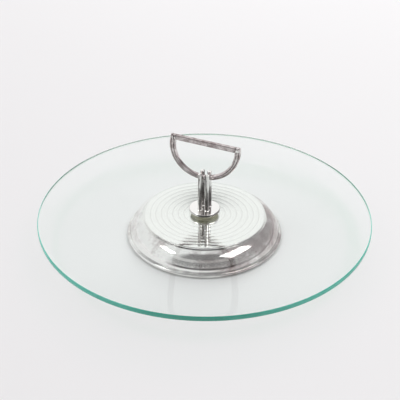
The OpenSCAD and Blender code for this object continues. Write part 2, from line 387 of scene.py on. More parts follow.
# %% Model the flange with its solder fillets
FLANGE_R = 16.3
FLANGE_LOW = 30.4
SOCKET_TOP = 31.6
STUD_R = 3.95
FILLET = 0.8
SEAT_FIT = 0.02
SEAT_DEPTH = 1.3
flange = turn("soldered_flange", soften([
    (0, SOCKET_TOP, 0),
    (STUD_R, SOCKET_TOP, 0),
    (STUD_R, FLANGE_LOW, 0.1),
    (FLANGE_R, FLANGE_LOW, 0.3),
    (FLANGE_R, FLANGE_TOP, 0.7),
    (0, FLANGE_TOP, 0),
], steps=6), 160)
fillet_outline = [(ROD_R - 0.02, FLANGE_TOP - 0.05), (ROD_R + FILLET, FLANGE_TOP - 0.05)]
fillet_outline += arc((ROD_R + FILLET, FLANGE_TOP + FILLET), FILLET, 270, 180, 6)
fillet_outline += [(ROD_R - 0.02, FLANGE_TOP + FILLET)]
fillet = turn("fillet", fillet_outline, 48)
for x, y in ((-ROD_X, -ROD_Y), (ROD_X, -ROD_Y), (-ROD_X, ROD_Y), (ROD_X, ROD_Y)):
    seat = (x, y, TENON_Z + SEAT_DEPTH / 2)
    combine(flange, rod_tool(TENON_R + SEAT_FIT, SEAT_DEPTH, seat), "DIFFERENCE")
    drawn_up = copy_of(fillet, "drawn_up")
    shift(drawn_up, x, y)
    combine(flange, drawn_up, "UNION")
bpy.data.objects.remove(fillet)
swing(flange, "Z", TURNED)
stand_for(flange, "handle", "flange")

# %% [markdown]
# ## The stud's thread
# A thread is one tooth carried round on a helix. The tooth is drawn once, the screw modifier
# carries it upwards turn by turn, and two cuts with filled ends make it a closed solid of the
# right length.

# %% Model the threaded stud
PITCH = 1.25
THREAD_DEPTH = 0.45
STUD_LOW = 12.55
deselect()
bpy.ops.mesh.primitive_plane_add(size=MM)
stud = bpy.context.object
stud.name = "threaded_stud"
stud.data.name = "threaded_stud"
bpy.ops.object.mode_set(mode="EDIT")
bpy.ops.mesh.merge(type="CENTER")
bpy.ops.transform.translate(value=((STUD_R - THREAD_DEPTH) * MM, 0, (STUD_LOW - 2 * PITCH) * MM))
for out, up in ((THREAD_DEPTH - 0.02, 0.5), (0, 0.2), (0.02 - THREAD_DEPTH, 0.55)):
    bpy.ops.mesh.extrude_region_move(TRANSFORM_OT_translate={"value": (out * MM, 0, up * MM)})
bpy.ops.object.mode_set(mode="OBJECT")
helix = stud.modifiers.new("helix", "SCREW")
helix.screw_offset = PITCH * MM
helix.iterations = 19
helix.steps = 40
helix.render_steps = 40
helix.use_merge_vertices = True
helix.merge_threshold = 0.005 * MM
bpy.ops.object.modifier_apply(modifier="helix")
for cut_z, way in ((STUD_LOW, 1), (SOCKET_TOP - 0.01, -1)):
    start_edit(stud)
    bpy.ops.mesh.bisect(plane_co=(0, 0, cut_z * MM), plane_no=(0, 0, way), use_fill=True,
                        clear_inner=True)
    bpy.ops.object.mode_set(mode="OBJECT")
start_edit(stud)
bpy.ops.mesh.remove_doubles(threshold=0.002 * MM)
bpy.ops.mesh.normals_make_consistent(inside=False)
end_edit(stud)
stand_for(stud, "handle", "stud")

# %% [markdown]
# ## The D handle
# The curved part is a flat outline pulled through its depth. Its long edges are rounded, and
# a shallow channel with a raised rib runs along both faces, which is what draws the fine
# light and dark lines along the arms. The bar above it is a reeded section, pulled through
# its length, with a round tenon into each arm and a domed rivet through each tenon.

# %% Model the curved part of the D
D_R = 37.2
D_INNER_R = 30.84
D_INNER_DROP = 1.56
D_TOP = 7.6
D_DEPTH = 4.6
D_ROUND = 1.1
TENON_HEIGHT = 4.9
RIVET_X = 33.4
RIVET_BORE_R = 0.72
DRILL_LEN = 9
ARM_SOCKET_R = 1.42
ARM_SOCKET_LEN = 4.4
ARM_SOCKET_IN = 2.05
D_SMOOTH = 25
top_angle = math.degrees(math.asin(D_TOP / D_R))
outer_curve = arc((0, 0), D_R, top_angle, -180 - top_angle, 110)
# Long edges beside the sharp top corners leave room for the insets
d_outline = outer_curve[:1] + outer_curve[4:-4] + outer_curve[-1:]
d_outline += [(-D_INNER_R, D_TOP)]
d_outline += arc((0, -D_INNER_DROP), D_INNER_R, 180, 360, 96)
d_outline += [(D_INNER_R, D_TOP)]
curve = draw_outline("curved_handle", d_outline)
bpy.ops.mesh.remove_doubles(threshold=0.002 * MM)
bpy.ops.mesh.edge_face_add()
bpy.ops.transform.translate(value=(0, -D_DEPTH / 2 * MM, 0))
bpy.ops.mesh.extrude_region_move(TRANSFORM_OT_translate={"value": (0, D_DEPTH * MM, 0)})
bpy.ops.mesh.select_all(action="SELECT")
bpy.ops.mesh.normals_make_consistent(inside=False)


def select_flat_faces(piece):
    """Selects only the two broad faces of the D, and stays in edit mode."""
    bpy.ops.mesh.select_mode(type="FACE")
    bpy.ops.mesh.select_all(action="DESELECT")
    bpy.ops.object.mode_set(mode="OBJECT")
    for face in piece.data.polygons:
        face.select = len(face.vertices) > 50
    bpy.ops.object.mode_set(mode="EDIT")


select_flat_faces(curve)
bpy.ops.mesh.region_to_loop()
bpy.ops.mesh.bevel(offset=D_ROUND * MM, segments=3, profile=0.5, affect="EDGES")
for inset, depth in ((0.30, 0.0), (0.30, -0.30), (0.15, 0.0), (0.25, 0.30)):
    select_flat_faces(curve)
    bpy.ops.mesh.inset(thickness=inset * MM, depth=depth * MM)
bpy.ops.mesh.select_mode(type="VERT")
end_edit(curve, D_SMOOTH)
for side in (-1, 1):
    socket_at = (side * (D_INNER_R + ARM_SOCKET_IN), 0, TENON_HEIGHT)
    socket = rod_tool(ARM_SOCKET_R, ARM_SOCKET_LEN, socket_at, "X")
    combine(curve, socket, "DIFFERENCE", D_SMOOTH)
    rivet_at = (side * RIVET_X, 0, TENON_HEIGHT)
    combine(curve, rod_tool(RIVET_BORE_R, DRILL_LEN, rivet_at, "Y"), "DIFFERENCE", D_SMOOTH)
swing(curve, "Y", LEAN)
shift(curve, z=D_CENTRE_Z)
for side in (-1, 1):
    pin_at = (side * ROD_X, 0, PIN_Z)
    combine(curve, rod_tool(PIN_BORE_R, DRILL_LEN, pin_at, "Y"), "DIFFERENCE", D_SMOOTH)
swing(curve, "Z", TURNED)
stand_for(curve, "handle", "handle_arc")

# %% Model the reeded grip bar
BAR_LOW = 2.2
BAR_HALF_W = 2.3
BAR_ROUND = 1.0
BAR_HALF_LEN = 30.78
REED_R = 0.3
TOP_REED_R = 0.22
BAR_TENON_R = 1.4
BAR_TENON_LEN = 4.2
TOP_REED_X = 0.7
reed_heights = [BAR_LOW + (D_TOP - BAR_LOW) * i / 4 for i in (1, 2, 3)]
section = arc((BAR_HALF_W - BAR_ROUND, BAR_LOW + BAR_ROUND), BAR_ROUND, -90, 0, 5)
for reed_z in reed_heights:
    section += arc((BAR_HALF_W, reed_z), REED_R, -90, -270, 6)
section += arc((BAR_HALF_W - BAR_ROUND, D_TOP - BAR_ROUND), BAR_ROUND, 0, 90, 5)
for reed_x in (TOP_REED_X, -TOP_REED_X):
    section += arc((reed_x, D_TOP), TOP_REED_R, 0, -180, 5)
section += arc((BAR_ROUND - BAR_HALF_W, D_TOP - BAR_ROUND), BAR_ROUND, 90, 180, 5)
for reed_z in reversed(reed_heights):
    section += arc((-BAR_HALF_W, reed_z), REED_R, 90, -90, 6)
section += arc((BAR_ROUND - BAR_HALF_W, BAR_LOW + BAR_ROUND), BAR_ROUND, 180, 270, 5)
bar = draw_outline("reeded_grip_bar", section)
bpy.ops.mesh.remove_doubles(threshold=0.002 * MM)
bpy.ops.mesh.edge_face_add()
bpy.ops.transform.translate(value=(0, -BAR_HALF_LEN * MM, 0))
bpy.ops.mesh.extrude_region_move(TRANSFORM_OT_translate={"value": (0, 2 * BAR_HALF_LEN * MM, 0)})
bpy.ops.mesh.select_all(action="SELECT")
bpy.ops.mesh.normals_make_consistent(inside=False)
end_edit(bar)
swing(bar, "Z", 90)
tenons = rod_tool(BAR_TENON_R, 2 * (BAR_HALF_LEN + BAR_TENON_LEN), (0, 0, TENON_HEIGHT), "X")
combine(bar, tenons, "UNION")
for side in (-1, 1):
    rivet_at = (side * RIVET_X, 0, TENON_HEIGHT)
    combine(bar, rod_tool(RIVET_BORE_R, DRILL_LEN, rivet_at, "Y"), "DIFFERENCE")
swing(bar, "Y", LEAN)
shift(bar, z=D_CENTRE_Z)
swing(bar, "Z", TURNED)
stand_for(bar, "handle", "grip_bar")

# %% Model the two rivets
RIVET_R = 0.7
HEAD_R = 1.9
HEAD_H = 0.8
half_depth = D_DEPTH / 2
dome = [(HEAD_R * math.cos(a), half_depth + 0.1 + (HEAD_H - 0.1) * math.sin(a))
        for a in [math.radians(15 * i) for i in range(6)]]
top_half = [(RIVET_R, half_depth), (HEAD_R, half_depth)] + dome + [(0, half_depth + HEAD_H)]
rivet_outline = [(x, -z) for x, z in reversed(top_half)] + top_half
rivet = turn("rivet", rivet_outline, 40)
swing(rivet, "X", 90)
for name, side in (("left", -1), ("right", 1)):
    headed = copy_of(rivet, f"domed_rivet_{name}")
    shift(headed, side * RIVET_X, 0, TENON_HEIGHT)
    swing(headed, "Y", LEAN)
    shift(headed, z=D_CENTRE_Z)
    swing(headed, "Z", TURNED)
    stand_for(headed, "handle", f"rivet_{name}")
bpy.data.objects.remove(rivet)

# %% [markdown]
# ## Washers and felt
# A clamped washer is never a sharp disc: its edge is squeezed out a little. The felt under the
# base is a soft sheet with an uneven, slightly fluffy surface, so its points are shaken by a
# few hundredths of a millimetre.

# %% Model the washers and the felt
UPPER_WASHER_R = 15.6
UPPER_WASHER_LOW = 30.02
UPPER_WASHER_HIGH = 30.37
UPPER_WASHER_SOFT = 0.16
LOWER_WASHER_R = 14.0
LOWER_WASHER_LOW = 22.9
LOWER_WASHER_HIGH = 24.8
LOWER_WASHER_SOFT = 0.7
LOWER_BORE_SOFT = 0.2
upper_washer = turn("squeezed_upper_washer", soften([
    (BORE_R, UPPER_WASHER_LOW, 0),
    (UPPER_WASHER_R, UPPER_WASHER_LOW, UPPER_WASHER_SOFT),
    (UPPER_WASHER_R, UPPER_WASHER_HIGH, UPPER_WASHER_SOFT),
    (BORE_R, UPPER_WASHER_HIGH, 0),
]), 128)
stand_for(upper_washer, "riser", "upper_washer")
lower_washer = turn("squeezed_lower_washer", soften([
    (BORE_R, LOWER_WASHER_LOW, LOWER_BORE_SOFT),
    (LOWER_WASHER_R, LOWER_WASHER_LOW, LOWER_WASHER_SOFT),
    (LOWER_WASHER_R, LOWER_WASHER_HIGH, LOWER_WASHER_SOFT),
    (BORE_R, LOWER_WASHER_HIGH, LOWER_BORE_SOFT),
], steps=6), 128)
stand_for(lower_washer, "base", "lower_washer")
FELT_R = 78.3
FELT_LOW = 0.05
FELT_HIGH = 0.94
FELT_SOFT = 0.3
FELT_STEP = 6.0
felt_inner = 12 * FELT_STEP
felt_outline = [(FELT_STEP * i, FELT_LOW) for i in range(13)]
felt_outline += soft_corner((felt_inner, FELT_LOW), (FELT_R, FELT_LOW), (FELT_R, FELT_HIGH), FELT_SOFT)
felt_outline += soft_corner((FELT_R, FELT_LOW), (FELT_R, FELT_HIGH), (felt_inner, FELT_HIGH), FELT_SOFT)
felt_outline += [(FELT_STEP * i, FELT_HIGH) for i in range(12, -1, -1)]
felt_sheet = turn("pressed_felt_pad", felt_outline, 180)
start_edit(felt_sheet)
bpy.ops.transform.vertex_random(offset=0.04 * MM, uniform=0.0, normal=0.0, seed=3)
end_edit(felt_sheet)
stand_for(felt_sheet, "base", "felt_pad")

# %% [markdown]
# ## Tools for finishes
# A finish is built from nodes. The same few effects come back on several metals, so each is
# a node group with named sockets: fine scratches from polishing, concentric marks from the
# lathe, and tarnish that darkens and warms silver where it is handled little. A helper adds
# a node and sets its inputs, which keeps the recipes short.


# %% Helpers for nodes
def add_node(tree, kind, **inputs):
    """Adds a node and sets its inputs: a value is set, a socket is linked."""
    made = tree.nodes.new(kind)
    for name, value in inputs.items():
        socket = made.inputs[name.replace("_", " ")]
        if isinstance(value, bpy.types.NodeSocket):
            tree.links.new(value, socket)
        else:
            socket.default_value = value
    return made


def maths(tree, operation, a, b=0.0):
    """A Math node on two numbers or sockets. Returns its result."""
    made = tree.nodes.new("ShaderNodeMath")
    made.operation = operation
    for socket, value in zip(made.inputs, (a, b)):
        if isinstance(value, bpy.types.NodeSocket):
            tree.links.new(value, socket)
        else:
            socket.default_value = value
    return made.outputs[0]


def spread(tree, value, low, high, to_low, to_high):
    """Maps value from low..high to to_low..to_high, clamped. Returns the result."""
    made = tree.nodes.new("ShaderNodeMapRange")
    tree.links.new(value, made.inputs["Value"])
    made.inputs["From Min"].default_value = low
    made.inputs["From Max"].default_value = high
    made.inputs["To Min"].default_value = to_low
    made.inputs["To Max"].default_value = to_high
    return made.outputs["Result"]


def mix_colours(tree, share, a, b):
    """Mixes colour a towards colour b by share. Returns the colour."""
    made = tree.nodes.new("ShaderNodeMix")
    made.data_type = "RGBA"
    for index, value in ((0, share), (6, a), (7, b)):
        if isinstance(value, bpy.types.NodeSocket):
            tree.links.new(value, made.inputs[index])
        elif index:
            made.inputs[index].default_value = (*value, 1)
        else:
            made.inputs[index].default_value = value
    return made.outputs[2]


def noise(tree, vector, scale, detail=3.0, roughness=0.5):
    """A noise texture. Returns its grey value."""
    made = add_node(tree, "ShaderNodeTexNoise", Vector=vector, Scale=scale, Detail=detail,
                    Roughness=roughness)
    return made.outputs["Fac"]


def distance(tree, vector, kept_axes):
    """Length of a vector, in metres, with the axes that are not kept flattened."""
    flat = add_node(tree, "ShaderNodeVectorMath", Vector=vector)
    flat.operation = "MULTIPLY"
    flat.inputs[1].default_value = kept_axes
    away = add_node(tree, "ShaderNodeVectorMath", Vector=flat.outputs[0])
    away.operation = "LENGTH"
    return away.outputs["Value"]


def new_group(name, inputs, outputs):
    """Makes an empty shader group. Returns it, its given sockets and its result sockets."""
    group = bpy.data.node_groups.new(name, "ShaderNodeTree")
    for socket, kind, value in inputs:
        made = group.interface.new_socket(socket, in_out="INPUT", socket_type=kind)
        if value is not None:
            made.default_value = value
    for socket, kind in outputs:
        group.interface.new_socket(socket, in_out="OUTPUT", socket_type=kind)
    source = group.nodes.new("NodeGroupInput")
    result = group.nodes.new("NodeGroupOutput")
    return group, source.outputs, result.inputs


FLOAT = "NodeSocketFloat"
COLOUR = "NodeSocketColor"


# %% [markdown]
# ### Fine scratches
# Hand polishing leaves hair-fine scratches in a few directions. Stretched noise, cut to its
# narrow peaks, gives them: one layer runs each way, and their sum is both a height for the
# bump and a mask that lifts the roughness a little.


# %% Group: fine scratches
def scratch_layer(tree, coordinates, scale, turn_deg):
    """One layer of scratches that run in one direction."""
    mapping = add_node(tree, "ShaderNodeMapping", Vector=coordinates)
    mapping.inputs["Rotation"].default_value = (0.3, 0.2, math.radians(turn_deg))
    mapping.inputs["Scale"].default_value = (1.0, 0.04, 0.3)
    spots = add_node(tree, "ShaderNodeTexNoise", Vector=mapping.outputs[0], Scale=scale, Detail=2.0)
    return spread(tree, spots.outputs["Fac"], 0.66, 0.78, 0.0, 1.0)


def make_scratches():
    """Three layers of scratches, the strongest of which wins at each place."""
    group, given, result = new_group(
        "fine_scratches", [("Scale", FLOAT, 1500.0)], [("Scratches", FLOAT)])
    position = add_node(group, "ShaderNodeTexCoord").outputs["Object"]
    layers = [scratch_layer(group, position, given["Scale"], turn_deg) for turn_deg in (20, 75, 140)]
    both = maths(group, "MAXIMUM", layers[0], layers[1])
    group.links.new(maths(group, "MAXIMUM", both, layers[2]), result["Scratches"])
    return group


scratches = make_scratches()
print("group:", scratches.name)


# %% [markdown]
# ### Lathe marks
# A spun or turned piece keeps faint rings round its axis. The distance from the axis drives
# a sine wave, and noise makes some marks deeper than others.

# %% Group: lathe marks
def make_lathe_marks():
    """Rings at an even spacing, of uneven depth."""
    group, given, result = new_group("lathe_marks", [("Spacing", FLOAT, 0.0004)], [("Marks", FLOAT)])
    position = add_node(group, "ShaderNodeTexCoord").outputs["Object"]
    turns = maths(group, "DIVIDE", distance(group, position, (1, 1, 0)), given["Spacing"])
    wave = maths(group, "SINE", maths(group, "MULTIPLY", turns, math.tau))
    uneven = noise(group, position, 60.0)
    group.links.new(maths(group, "MULTIPLY", wave, uneven), result["Marks"])
    return group


lathe_marks = make_lathe_marks()
print("group:", lathe_marks.name)

# %% [markdown]
# ### Tarnish
# Old silver plate yellows, then turns pinkish brown. It happens in patches and is polished
# off where cloth reaches easily. Broad noise picks the patches, finer noise breaks up their
# edges, and Amount says how much of the surface has turned.

# %% Group: tarnish
def make_tarnish():
    """Patches of stain over clean metal, and the mask that tells where they are."""
    group, given, result = new_group(
        "tarnish",
        [("Clean", COLOUR, (0.9, 0.9, 0.88, 1)), ("Stained", COLOUR, (0.6, 0.5, 0.47, 1)),
         ("Scale", FLOAT, 30.0), ("Amount", FLOAT, 0.5)],
        [("Color", COLOUR), ("Mask", FLOAT)])
    position = add_node(group, "ShaderNodeTexCoord").outputs["Object"]
    patches = noise(group, position, given["Scale"], 4.0, 0.6)
    grain = noise(group, position, maths(group, "MULTIPLY", given["Scale"], 12.0), 2.0)
    blend = maths(group, "ADD", patches, maths(group, "MULTIPLY", grain, 0.25))
    level = maths(group, "SUBTRACT", 1.05, maths(group, "MULTIPLY", given["Amount"], 0.8))
    raised = maths(group, "SUBTRACT", blend, level)
    mask = spread(group, raised, -0.14, 0.14, 0.0, 1.0)
    group.links.new(mask, result["Mask"])
    group.links.new(mix_colours(group, mask, given["Clean"], given["Stained"]), result["Color"])
    return group


tarnish = make_tarnish()
print("group:", tarnish.name)


# %% [markdown]
# ## The metal finishes
# All the metal is silver plate, so one recipe serves with different values: how stained it
# is, how soft its mirror is, and how strong its tool marks are. The Principled shader stays
# in the material, and the groups feed its colour, its roughness and the bump.


# %% Recipe: silver plate
MARK_SPACING = 0.4


def silver_plate(name, clean, stained, amount, stain_scale, gloss, marks):
    """A silver-plated finish. Returns the material and its stain node, for further touches."""
    material = bpy.data.materials.new(name)
    material.use_nodes = True
    tree = material.node_tree
    shader = tree.nodes["Principled BSDF"]
    shader.inputs["Metallic"].default_value = 1.0
    stain = add_node(tree, "ShaderNodeGroup")
    stain.node_tree = tarnish
    stain.inputs["Clean"].default_value = (*clean, 1)
    stain.inputs["Stained"].default_value = (*stained, 1)
    stain.inputs["Scale"].default_value = stain_scale
    stain.inputs["Amount"].default_value = amount
    tree.links.new(stain.outputs["Color"], shader.inputs["Base Color"])
    fine = add_node(tree, "ShaderNodeGroup")
    fine.node_tree = scratches
    rings = add_node(tree, "ShaderNodeGroup")
    rings.node_tree = lathe_marks
    rings.inputs["Spacing"].default_value = MARK_SPACING * MM
    dull = maths(tree, "MULTIPLY", stain.outputs["Mask"], 0.10)
    hazy = maths(tree, "MULTIPLY", fine.outputs["Scratches"], 0.06)
    rough = maths(tree, "ADD", maths(tree, "ADD", dull, hazy), gloss)
    tree.links.new(rough, shader.inputs["Roughness"])
    height = maths(tree, "ADD", maths(tree, "MULTIPLY", rings.outputs["Marks"], marks),
                   fine.outputs["Scratches"])
    bump = add_node(tree, "ShaderNodeBump", Strength=0.15, Distance=0.01 * MM, Height=height)
    tree.links.new(bump.outputs["Normal"], shader.inputs["Normal"])
    return material, stain


# %% [markdown]
# ### Where painted shade, painted reflection and residue lie
# On top of the tarnish, each metal gets marks laid on by position and not modelled: painted
# shade as dark lines in the base's groove and at its waist, stronger toward the front; pale
# residue between the rings, which polishing leaves behind; painted dark reflections as streaks
# along the rods; and painted shade as a dark line along each channel of the D.


# %% Finish the base, the stem and the D
CLEAN = (0.93, 0.92, 0.90)
CHANNEL_IN = 1.65


def set_colour(material, colour):
    """Feeds a colour to a material's Principled shader."""
    tree = material.node_tree
    tree.links.new(colour, tree.nodes["Principled BSDF"].inputs["Base Color"])


def between(tree, value, rise_mm, fall_mm):
    """One inside a range of millimetres and nothing outside, with soft ends."""
    rising = spread(tree, value, rise_mm[0] * MM, rise_mm[1] * MM, 0.0, 1.0)
    falling = spread(tree, value, fall_mm[0] * MM, fall_mm[1] * MM, 1.0, 0.0)
    return maths(tree, "MULTIPLY", rising, falling)


def base_finish():
    """Spun silver, more stained outside the ringed top and toward its right-hand side, with painted
    shade in the groove and at the waist.
    """
    material, stain = silver_plate(
        "spun_silver_plate", CLEAN, (0.40, 0.325, 0.32), 0.45, 32.0, 0.03, 1.0)
    tree = material.node_tree
    position = add_node(tree, "ShaderNodeTexCoord").outputs["Object"]
    axes = add_node(tree, "ShaderNodeSeparateXYZ", Vector=position).outputs
    reach = distance(tree, position, (1, 1, 0))
    outside = spread(tree, reach, 65.2 * MM, 66.2 * MM, 0.12, 1.0)
    handled = spread(tree, axes["X"], -50 * MM, 50 * MM, 0.35, 0.575)
    tree.links.new(maths(tree, "MULTIPLY", outside, handled), stain.inputs["Amount"])
    # Painted shade: near-black lines in the groove round the ringed top and at the waist above the
    # bead.
    groove_foot = spread(tree, axes["Z"], 20.6 * MM, 21.1 * MM, 1.0, 0.0)
    top_edge = spread(tree, axes["Z"], 22.1 * MM, 22.5 * MM, 0.0, 1.0)
    in_groove = between(tree, reach, (64.3, 64.5), (66.1, 66.4))
    groove_painted_shade = maths(tree, "MULTIPLY", in_groove, maths(tree, "MAXIMUM", groove_foot, top_edge))
    waist_line = between(tree, axes["Z"], (3.8, 4.1), (5.0, 5.6))
    painted_shade_lines = maths(tree, "MAXIMUM", groove_painted_shade, maths(tree, "MULTIPLY", waist_line, 0.7))
    # The painted shade is strongest at the front, on the camera's side, and fades toward the back.
    toward_front = spread(tree, axes["Y"], -58 * MM, -30 * MM, 1.0, 0.10)
    patchy = spread(tree, noise(tree, position, 50.0), 0.35, 0.6, 0.3, 1.0)
    patchy_painted_shade = maths(tree, "MULTIPLY", painted_shade_lines, maths(tree, "MULTIPLY", patchy, toward_front))
    ringed = mix_colours(tree, ring_residue(tree, reach), stain.outputs["Color"], (0.62, 0.60, 0.57))
    set_colour(material, mix_colours(tree, patchy_painted_shade, ringed, (0.05, 0.045, 0.045)))
    return material


def ring_residue(tree, reach):
    """A mask of the polish residue that stays in the grooves between the rings."""
    from_seat = maths(tree, "SUBTRACT", reach, SEAT_R * MM)
    ring_share = maths(tree, "FRACT", maths(tree, "DIVIDE", from_seat, RING_PITCH * MM))
    off_crown = maths(tree, "ABSOLUTE", maths(tree, "SUBTRACT", ring_share, 0.5))
    in_rings = spread(tree, reach, 63.6 * MM, 64.0 * MM, 0.45, 0.0)
    return maths(tree, "MULTIPLY", spread(tree, off_crown, 0.40, 0.49, 0.0, 1.0), in_rings)


def stem_finish():
    """Bright silver with painted dark reflections as streaks that run along the rods."""
    material, stain = silver_plate(
        "bright_silver_plate", CLEAN, (0.60, 0.53, 0.49), 0.10, 60.0, 0.03, 0.5)
    tree = material.node_tree
    position = add_node(tree, "ShaderNodeTexCoord").outputs["Object"]
    # Painted reflection: near-black streaks that run along the rods above the flange.
    stretched_along_rods = add_node(tree, "ShaderNodeMapping", Vector=position)
    stretched_along_rods.inputs["Scale"].default_value = (1.0, 1.0, 0.05)
    streaks = spread(tree, noise(tree, stretched_along_rods.outputs[0], 420.0, 2.0), 0.50, 0.60, 0.0, 0.85)
    height = add_node(tree, "ShaderNodeSeparateXYZ", Vector=position).outputs["Z"]
    above_flange = spread(tree, height, 33.5 * MM, 34.5 * MM, 0.0, 1.0)
    share = maths(tree, "MULTIPLY", streaks, above_flange)
    set_colour(material, mix_colours(tree, share, stain.outputs["Color"], (0.13, 0.115, 0.11)))
    return material


def painted_channel_shade(tree, position, drop, middle):
    """A line of painted shade along one channel of the D, middle millimetres from the curve's centre.
    """
    squared = add_node(tree, "ShaderNodeMapping", Vector=position)
    squared.inputs["Rotation"].default_value = (0, 0, math.radians(-TURNED))
    squared.inputs["Location"].default_value = (0, 0, (drop - D_CENTRE_Z) * MM)
    away = distance(tree, squared.outputs[0], (1, 0, 1))
    off_line = maths(tree, "ABSOLUTE", maths(tree, "SUBTRACT", away, middle * MM))
    return spread(tree, off_line, 0.18 * MM, 0.38 * MM, 1.0, 0.0)


def handle_finish():
    """Tarnished silver with a broken line of painted shade along each channel of the D."""
    material, stain = silver_plate(
        "tarnished_silver_plate", (0.80, 0.75, 0.745), (0.40, 0.33, 0.325), 0.50, 160.0, 0.05, 0.0)
    tree = material.node_tree
    position = add_node(tree, "ShaderNodeTexCoord").outputs["Object"]
    # Painted shade: a near-black line along the outer and the inner channel of the D.
    outer = painted_channel_shade(tree, position, 0.0, D_R - CHANNEL_IN)
    inner = painted_channel_shade(tree, position, D_INNER_DROP, D_INNER_R + CHANNEL_IN)
    patchy = spread(tree, noise(tree, position, 70.0), 0.3, 0.6, 0.6, 1.0)
    kept = maths(tree, "MULTIPLY", maths(tree, "MAXIMUM", outer, inner), patchy)
    set_colour(material, mix_colours(tree, kept, stain.outputs["Color"], (0.06, 0.05, 0.05)))
    return material


base_silver = base_finish()
stem_silver = stem_finish()
handle_silver = handle_finish()
print("metals:", base_silver.name, stem_silver.name, handle_silver.name)


# %% [markdown]
# ## Glass, rubber and felt
# Float glass is nearly clear through its thin side and green through its rim, because light
# there travels a long way through it. A light absorption inside the solid tints the whole
# sheet. The rim has a finish of its own that is painted green, with painted light that makes
# it lighter toward both sides. Faint smudges vary the glass's gloss.


# %% Recipe: float glass
def let_light_through(tree, shader, tint):
    """Lets lamps and bounced light shine straight through a glass, so it hardly shades the table."""
    path = tree.nodes.new("ShaderNodeLightPath")
    clear = add_node(tree, "ShaderNodeBsdfTransparent")
    clear.inputs["Color"].default_value = (*tint, 1)
    surface = shader.outputs[0]
    for ray in ("Is Shadow Ray", "Is Diffuse Ray"):
        choice = tree.nodes.new("ShaderNodeMixShader")
        tree.links.new(path.outputs[ray], choice.inputs[0])
        tree.links.new(surface, choice.inputs[1])
        tree.links.new(clear.outputs[0], choice.inputs[2])
        surface = choice.outputs[0]
    tree.links.new(surface, tree.nodes["Material Output"].inputs["Surface"])


def float_glass():
    """Clear glass with a green body and faint smudges."""
    material = bpy.data.materials.new("float_glass")
    material.use_nodes = True
    tree = material.node_tree
    shader = tree.nodes["Principled BSDF"]
    shader.inputs["Transmission Weight"].default_value = 1.0
    shader.inputs["IOR"].default_value = 1.5
    shader.inputs["Base Color"].default_value = (0.985, 0.995, 0.99, 1)
    position = add_node(tree, "ShaderNodeTexCoord").outputs["Object"]
    smudges = noise(tree, position, 18.0, 5.0, 0.6)
    tree.links.new(spread(tree, smudges, 0.5, 0.8, 0.0, 0.03), shader.inputs["Roughness"])
    ripple = noise(tree, position, 9.0, 1.0)
    bump = add_node(tree, "ShaderNodeBump", Strength=0.05, Distance=0.05 * MM, Height=ripple)
    tree.links.new(bump.outputs["Normal"], shader.inputs["Normal"])
    let_light_through(tree, shader, (0.975, 0.98, 0.975))
    body = add_node(tree, "ShaderNodeVolumeAbsorption", Density=2.0)
    body.inputs["Color"].default_value = (0.0, 0.90, 0.72, 1)
    tree.links.new(body.outputs["Volume"], tree.nodes["Material Output"].inputs["Volume"])
    return material


def polished_rim():
    """The ground and polished rim: it gathers the green of the whole sheet."""
    material = bpy.data.materials.new("polished_glass_rim")
    material.use_nodes = True
    tree = material.node_tree
    shader = tree.nodes["Principled BSDF"]
    shader.inputs["Transmission Weight"].default_value = 0.30
    shader.inputs["IOR"].default_value = 1.5
    position = add_node(tree, "ShaderNodeTexCoord").outputs["Object"]
    streaks = noise(tree, position, 45.0, 4.0, 0.6)
    across = add_node(tree, "ShaderNodeSeparateXYZ", Vector=position).outputs["X"]
    # Painted light: the rim's green is made lighter toward both sides, left and right.
    painted_light_at_sides = spread(tree, maths(tree, "ABSOLUTE", across), 0.02, 0.11, 0.0, 1.0)
    deep = mix_colours(tree, streaks, (0.075, 0.47, 0.35), (0.115, 0.66, 0.50))
    light = mix_colours(tree, streaks, (0.12, 0.70, 0.54), (0.19, 0.90, 0.72))
    colour = mix_colours(tree, painted_light_at_sides, deep, light)
    tree.links.new(colour, shader.inputs["Base Color"])
    tree.links.new(spread(tree, streaks, 0.3, 0.7, 0.05, 0.16), shader.inputs["Roughness"])
    grinding = noise(tree, position, 900.0, 3.0)
    bump = add_node(tree, "ShaderNodeBump", Strength=0.15, Distance=0.02 * MM, Height=grinding)
    tree.links.new(bump.outputs["Normal"], shader.inputs["Normal"])
    inner = add_node(tree, "ShaderNodeBsdfPrincipled", Roughness=0.05, IOR=1.5)
    inner.inputs["Transmission Weight"].default_value = 1.0
    inner.inputs["Base Color"].default_value = (0.97, 0.99, 0.985, 1)
    sides = tree.nodes.new("ShaderNodeMixShader")
    tree.links.new(tree.nodes.new("ShaderNodeNewGeometry").outputs["Backfacing"], sides.inputs[0])
    tree.links.new(shader.outputs[0], sides.inputs[1])
    tree.links.new(inner.outputs[0], sides.inputs[2])
    let_light_through(tree, sides, (0.85, 0.95, 0.92))
    return material


def rubber():
    """Old washer rubber: matte, olive, with a fine grain and dusty patches."""
    material = bpy.data.materials.new("aged_washer")
    material.use_nodes = True
    tree = material.node_tree
    shader = tree.nodes["Principled BSDF"]
    position = add_node(tree, "ShaderNodeTexCoord").outputs["Object"]
    dust = noise(tree, position, 180.0, 4.0)
    colour = mix_colours(tree, dust, (0.48, 0.46, 0.33), (0.64, 0.61, 0.47))
    tree.links.new(colour, shader.inputs["Base Color"])
    tree.links.new(spread(tree, dust, 0.3, 0.7, 0.45, 0.65), shader.inputs["Roughness"])
    grain = noise(tree, position, 3000.0, 2.0)
    bump = add_node(tree, "ShaderNodeBump", Strength=0.2, Distance=0.03 * MM, Height=grain)
    tree.links.new(bump.outputs["Normal"], shader.inputs["Normal"])
    return material


